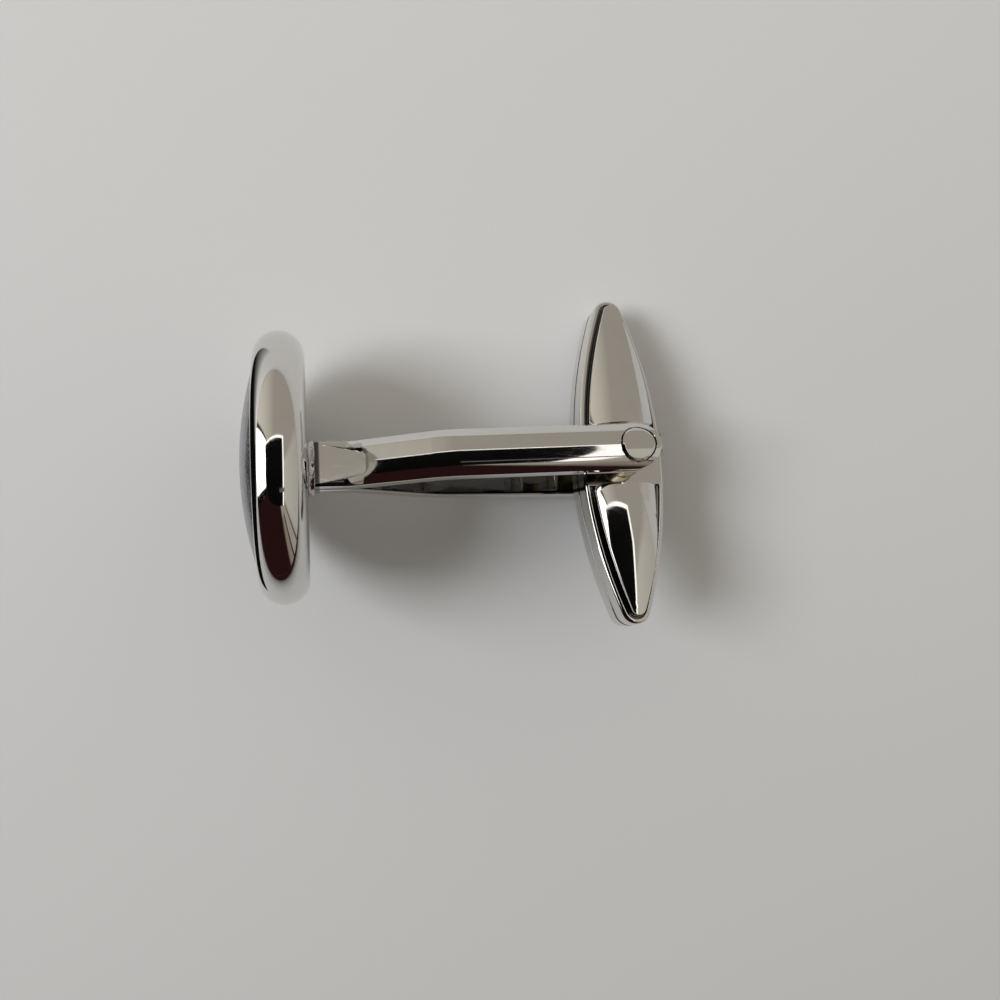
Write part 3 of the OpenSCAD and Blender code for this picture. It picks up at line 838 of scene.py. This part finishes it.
def shell_surface(s, side):
    """One shell, and its painted shade. Columns run from the seam up the wall, over the bead and the rim,
    through the groove and up the panel's flank by how far they are drawn in, and then straight to the
    toggle's middle line, or to the hub's hole beside it. The inner face follows the outer one, a sheet
    lower, under a level roof."""
    centre, way, reach, part = toggle_stations(s)
    rows, full, roof = len(reach), side > 0, s.wall + 1.0 * MM

    def drawn_in(insets):
        """The outline drawn in by each of the insets."""
        return centre[:, None, :] + way[:, None, :] * (reach[:, None] - insets)[..., None]

    def raised(plan, z):
        """Places in plan at their heights."""
        return np.concatenate([plan, np.broadcast_to(z, plan.shape[:2])[..., None]], -1)

    upright, turn = s.wall - s.bead - s.seam, np.radians(np.linspace(0, 90, 12))
    bead = np.stack([s.bead * (1 - np.cos(turn)), s.wall - s.bead + s.bead * np.sin(turn)], 1)
    wall = np.concatenate([
        [(s.seam, 0.0), (s.seam * 0.6, s.seam * 0.5), (0.0, s.seam), (0.0, s.seam * 1.3)],
        [(0.0, s.seam + upright * 0.4), (0.0, s.seam + upright * 0.7)], bead])
    border = s.rim + s.groove
    inset = np.concatenate([s.rim + np.linspace(-0.035, 0.035, 6) * MM,
                            np.linspace(s.rim + 0.06 * MM, border - 0.06 * MM, 5),
                            border + np.arange(-0.045, 0.40, 0.018) * MM])

    # A straight run is square to the middle line by the hub, and turns to its station's own direction
    # further out. In a tip's small circle it stops at the circle's centre.
    ring = drawn_in(inset)
    start = ring[:, -1]
    hole, start_y = s.hub + s.hub_gap, start[:, 1]
    turning = smooth_step((np.abs(start_y) - 2.6 * MM) / (5.0 * MM))
    end_y = start_y + (way[:, 1] / way[:, 0] * -centre[:, 0] - start_y) * turning
    end_y = np.where(part == 0, end_y, part * (s.long / 2 - s.tip))
    end_x = np.sqrt(np.maximum(hole ** 2 - end_y ** 2, 0)) * (part == 0)
    share = 1 - (1 - np.linspace(0, 1, 19)[1:]) ** 1.15
    run = start[:, None, :] + (np.stack([end_x, end_y], 1) - start)[:, None, :] * share[None, :, None]

    plan = np.concatenate([ring, run], 1)
    depth = np.append(inset, np.full(len(share), FAR_IN))
    wall_face = raised(drawn_in(wall[:, 0]), wall[:, 1])
    below = np.append(np.array([0.12, 0.3, 0.45, 0.47, 0.50, 0.53]) * MM, inset[-1])
    low_plan = np.concatenate([drawn_in(below), run], 1)
    hollow = np.append(smooth_step((below - s.sheet) / (0.06 * MM)), np.ones(len(share)))
    # Painted shade in the grooves: the one round the panels and the one along the seam
    seam_painted_shade = np.broadcast_to(1 - smooth_step((wall[:, 1] / s.seam - 0.9) * 2), (rows, len(wall)))
    at_hole = (end_x[:-1] + end_x[1:]) > 0
    parts, shades = [], []
    for mirror in (1, -1):
        z, dark = shell_top(mirror * plan[..., 0], plan[..., 1], depth, s, full)
        outer = np.concatenate([wall_face, raised(plan, z)], 1)
        x, y = mirror * low_plan[..., 0], low_plan[..., 1]
        low_z = np.minimum(shell_top(x, y, FAR_IN, s, full)[0], spindle(x, y, s, full)) - s.sheet
        inner = raised(low_plan, np.clip(low_z * hollow, 0, roof))
        inner = np.concatenate([outer[:, :1], inner], 1)
        rim = np.stack([outer[:, -1], inner[:, -1]], 1)
        way_round = 1 if mirror * side < 0 else -1
        for points, quads, order in ((outer, grid_quads(rows, outer.shape[1]), way_round),
                                     (inner, grid_quads(rows, inner.shape[1]), -way_round),
                                     (rim, grid_quads(rows, 2)[at_hole], way_round)):
            parts.append((points * [mirror, 1, side], quads[:, ::order]))
        shades += [np.concatenate([seam_painted_shade, dark], 1), np.zeros(inner.shape[:2]), np.zeros((rows, 2))]
    return parts, shades


class CUFFLINK_OT_toggle(bpy.types.Operator):
    """Makes the two shells of the toggle"""
    bl_idname = "cufflink.toggle"
    bl_label = "Toggle"

    def execute(self, context):
        s, fork, f = settings("toggle", "fork", "finish")
        metal = plated("toggle_plating", tuple(f.plating), f.gloss, f.ripple)
        for name, node, side in (("near_shell", "upper_shell", 1), ("far_shell", "lower_shell", -1)):
            parts, shades = shell_surface(s, side)
            parts = [(points + np.array([fork.rivet_x, 0, 0]), quads) for points, quads in parts]
            make_piece(name, parts, metal, "toggle", [node], crease=40.0, shade=shades)
        return {"FINISHED"}


class CUFFLINK_OT_hub(bpy.types.Operator):
    """Makes the hub that the toggle turns on"""
    bl_idname = "cufflink.hub"
    bl_label = "Hub"

    def execute(self, context):
        s, fork, f = settings("toggle", "fork", "finish")
        edge, end = 0.06 * MM, s.hub_half
        line = np.array([[-end, s.bore], [-end, s.hub - edge], [-end + edge, s.hub], [end - edge, s.hub],
                         [end, s.hub - edge], [end, s.bore], [-end, s.bore]])
        metal = plated("hub_brass", tuple(f.hub), 0.2, f.ripple * 2, haze=0.1)
        hub = revolved(spaced(line, 0.4 * MM), (fork.rivet_x, 0, 0), (0, 0, 1), 96)
        make_piece("hub_bush", [hub], metal, "toggle", ["toggle_hub"])
        return {"FINISHED"}


# Table, light and camera

CAMERA_PLACE = np.array([0.0009, -13.383, 54.408]) * MM
CAMERA_TILT = (0.2113, -0.1934, -0.0691)


def camera_axes():
    """Columns are the camera's own X, Y and Z in the cufflink's own axes: a turn about X, then about Y,
    then about Z, by the three angles that the outlines in the photograph give."""
    rx, ry, rz = (Matrix.Rotation(a, 3, axis) for a, axis in zip(CAMERA_TILT, "XYZ"))
    return np.array(rz @ ry @ rx)


def table_axes():
    """Columns are the table's east, along the post, its north, across the post, and its upright."""
    east = own_axes()[:, 0] * [1, 1, 0]
    east /= np.linalg.norm(east)
    return np.stack([east, np.cross([0, 0, 1], east), [0, 0, 1]], 1)


def turned_and_placed(axes, place):
    """The matrix of a light or a camera whose own axes are the given columns."""
    rows = [[*row, at] for row, at in zip(np.asarray(axes).tolist(), np.asarray(place).tolist())]
    return Matrix(rows + [[0, 0, 0, 1]])


def sheet(name, corners, order, material):
    """A flat sheet with four corners, which faces where their order says."""
    mesh = bpy.data.meshes.new(name)
    mesh.from_pydata(corners, [], [order])
    mesh.materials.append(material)
    o = in_scene(name, mesh)
    return o


def card(name, axes, west_east, south_north, high, material):
    """A card that only reflections see, from one place to another and at one height along the given
    axes, in millimetres from the middle of the head's back. Its front faces the cufflink."""
    (x0, x1), (y0, y1) = west_east, south_north
    corners = np.array([[x0, y0, high], [x1, y0, high], [x1, y1, high], [x0, y1, high]], float)
    corners = (corners * MM @ axes.T).tolist()
    o = sheet(name, corners, (3, 2, 1, 0) if high > 0 else (0, 1, 2, 3), material)
    for ray in ("camera", "diffuse", "shadow", "transmission", "volume_scatter"):
        setattr(o, "visible_" + ray, False)


def room(s):
    """The room round the table. The camera sees a plain pale tone. The table and other dull surfaces
    take a light that comes more from the north. Polished metal shows the room itself, by turn from the
    south and by elevation: pale walls to the north and the east, a window in a dark frame to the west,
    and a dark side to the south."""
    world = bpy.data.worlds.new("room")
    n = Nodes("room", world)
    way = n.add("ShaderNodeTexCoord").outputs["Generated"]
    east, north, upright = table_axes().T
    to_degrees = 180 / math.pi
    turn = n.product(n.sum(n.along(way, east), n.along(way, -north), "ARCTAN2"), to_degrees)
    rise = n.product(n.sum(n.along(way, upright), 0.0, "ARCSINE"), to_degrees)

    # The north wall is twice as bright to the west, and the east wall a fifth brighter high up
    to_west = n.ranged(n.along(way, east), -0.1, -0.95)
    to_north = n.mixed(to_west, s.wall_north, scaled(s.wall_north, 2.0))
    to_east = n.mixed(n.ranged(rise, 10.0, 60.0), s.wall_east, scaled(s.wall_east, 1.2))
    look = n.mixed(n.between(turn, 54, 112, 8), to_north, to_east)
    for start, end, tone in ((25, 35, (0.26, 0.21, 0.17)), (35, 38, s.dark), (50, 52, s.dark)):
        stripe = n.product(n.between(turn, start, end, 1.5), n.ranged(rise, 54.0, 50.0))
        look = n.mixed(stripe, look, tone)
    look = n.mixed(n.product(n.between(turn, -78, 25, 4), n.ranged(rise, 79.0, 76.0)), look, s.south)
    # The window's far border leans
    leaning = n.sum(turn, n.product(rise, 0.33))
    framed = n.product(n.ranged(leaning, -110.0, -108.0), n.ranged(turn, -72.0, -74.0),
                       n.ranged(rise, 54.0, 52.0))
    look = n.mixed(framed, look, s.dark)
    glass = n.product(n.ranged(leaning, -106.5, -105.5), n.ranged(turn, -78.0, -79.0),
                      n.between(rise, -2.0, 45.0, 1.5))
    look = n.mixed(glass, look, tuple(s.window * v for v in (1.0, 0.98, 0.95)))
    northward = n.sum(n.ranged(n.along(way, north), -1.0, 1.0), 2.0, "POWER")
    dull = n.mixed(northward, (0.0, 0.0, 0.0), scaled(s.air, s.air_strength))
    path = n.add("ShaderNodeLightPath")
    seen = n.mixed(path.outputs["Is Glossy Ray"], dull, look)
    n.feed("Color", n.mixed(path.outputs["Is Camera Ray"], seen, s.table))
    return world


def table_top(s):
    """The table: a pale tone, a little uneven, with painted shade that makes it darker to the south, and a fine
    grain.
    """
    n = Nodes("table_top")
    tone, fine = n.noise(14.0, 4.0, 0.6), n.noise(2600.0, 3.0, 0.6)
    plain = n.mixed(n.ranged(tone, 0.3, 0.7), scaled(s.table, 0.985), s.table)
    # Painted shade: the table's colour is darker to the south
    southward_painted_shade = n.ranged(n.along(n.place(), table_axes()[:, 1]), 0.03, -0.045)
    n.feed("Base Color", n.mixed(southward_painted_shade, plain, scaled(s.table, s.south_painted_shade)))
    n.feed("Roughness", n.ranged(fine, 0.3, 0.7, 0.55, 0.7))
    n.feed("Specular IOR Level", 0.3)
    n.feed("Normal", n.bump(fine, 0.004 * MM))
    reach, low = 0.9, CAD_BOX[0][2]
    corners = [(-reach, -reach, low), (reach, -reach, low), (reach, reach, low), (-reach, reach, low)]
    sheet("table", corners, (0, 1, 2, 3), n.material)


def soft_light(s):
    """Soft light from the head's side of the table, and a little from beyond it. Its strength follows
    its distance and its rise, so that the table gets the same light."""
    flat_way = own_axes() @ np.array([-1.0, 0.24, 0.0])
    flat_way[2] = 0.0
    flat_way /= np.linalg.norm(flat_way)
    rise = math.radians(s.key_rise)
    way = flat_way * math.cos(rise) + np.array([0.0, 0.0, math.sin(rise)])
    lamp = bpy.data.lights.new("soft_light", "AREA")
    lamp.shape = "RECTANGLE"
    lamp.size, lamp.size_y = 0.25, 0.27
    lamp.energy = s.key * math.pi * s.key_away ** 2 / math.sin(rise)
    side = np.cross(way, [0.0, 0.0, 1.0])
    side /= np.linalg.norm(side)
    axes = np.stack([side, np.cross(way, side), way], 1)
    light = in_scene("soft_light", lamp)
    light.visible_glossy = False
    light.matrix_world = turned_and_placed(axes, way * s.key_away)


def cards(s):
    """What the polished metal shows of the table further away: painted shade on the far table to the south
    and a dark strip to the west; and a dark card with pale borders and a line above the table."""
    level, own = table_axes(), own_axes()
    south, low = -level[:, 1], CAD_BOX[0][2] / MM + 0.3
    bright = glowing("card_bright_tone", (1.5, 1.45, 1.4))
    line = glowing("card_line_tone", (0.12, 0.11, 0.11))
    for name, axes, west_east, south_north, high, tone in (
            # Painted shade of the far table to the south, as the metal sees it
            ("card_south", level, (-850, 850), (-850, -20), low,
             glowing("card_south_tone", s.south, (south, 0.028, 0.12))),
            ("card_west", level, (-170, -11), (-18, 40), low,
             glowing("card_west_tone", s.dark, (south, -0.034, -0.012))),
            ("card_dark", own, (-185, 40), (-140, 26), 150, glowing("card_dark_tone", s.dark)),
            ("card_border_east", own, (40, 52), (-140, 26), 150, bright),
            ("card_border_north", own, (-185, 52), (26, 32), 150, bright),
            ("card_line", own, (0, 60), (-94, -82), 149.5, line)):
        card(name, axes, west_east, south_north, high, tone)


def camera(s):
    """The camera where the outlines in the photograph place it."""
    data = bpy.data.cameras.new("camera")
    data.sensor_fit = "HORIZONTAL"
    data.sensor_width = 36.0
    data.lens = s.lens
    data.clip_start, data.clip_end = 0.001, 20.0
    eye = in_scene("camera", data)
    axes = own_axes()
    eye.matrix_world = turned_and_placed(axes @ camera_axes(), axes @ CAMERA_PLACE)
    return eye


class CUFFLINK_OT_stage(bpy.types.Operator):
    """Makes the table, the light and the camera"""
    bl_idname = "cufflink.stage"
    bl_label = "Stage"

    def execute(self, context):
        scene, s = context.scene, context.scene.cufflink_stage
        table_top(s)
        scene.world = room(s)
        soft_light(s)
        cards(s)
        scene.camera = camera(s)
        scene.view_settings.view_transform = "Standard"
        return {"FINISHED"}


class CUFFLINK_PT_pieces(bpy.types.Panel):
    """Lists the cufflink's pieces and their sizes"""
    bl_label = "Cufflink"
    bl_idname = "CUFFLINK_PT_pieces"
    bl_space_type = "VIEW_3D"
    bl_region_type = "UI"
    bl_category = "Cufflink"

    def draw(self, context):
        for operator in OPERATORS:
            self.layout.operator(operator.bl_idname)
        for key, group in GROUPS:
            box = self.layout.box()
            box.label(text=group.__doc__)
            for prop in group.__annotations__:
                box.prop(getattr(context.scene, key), prop)


OPERATORS = (CUFFLINK_OT_head, CUFFLINK_OT_insert, CUFFLINK_OT_foot, CUFFLINK_OT_arms, CUFFLINK_OT_rivet,
             CUFFLINK_OT_toggle, CUFFLINK_OT_hub, CUFFLINK_OT_stage)
CLASSES = (*(group for _, group in GROUPS), *OPERATORS, CUFFLINK_PT_pieces)


def register():
    for cls in CLASSES:
        bpy.utils.register_class(cls)
    for key, group in GROUPS:
        setattr(bpy.types.Scene, key, bpy.props.PointerProperty(type=group))


def unregister():
    for key, _ in GROUPS:
        delattr(bpy.types.Scene, key)
    for cls in reversed(CLASSES):
        bpy.utils.unregister_class(cls)


def main():
    register()
    bpy.ops.cufflink.head()
    bpy.ops.cufflink.insert()
    bpy.ops.cufflink.foot()
    bpy.ops.cufflink.arms()
    bpy.ops.cufflink.rivet()
    bpy.ops.cufflink.toggle()
    bpy.ops.cufflink.hub()
    bpy.ops.cufflink.stage()


if __name__ == "__main__":
    main()
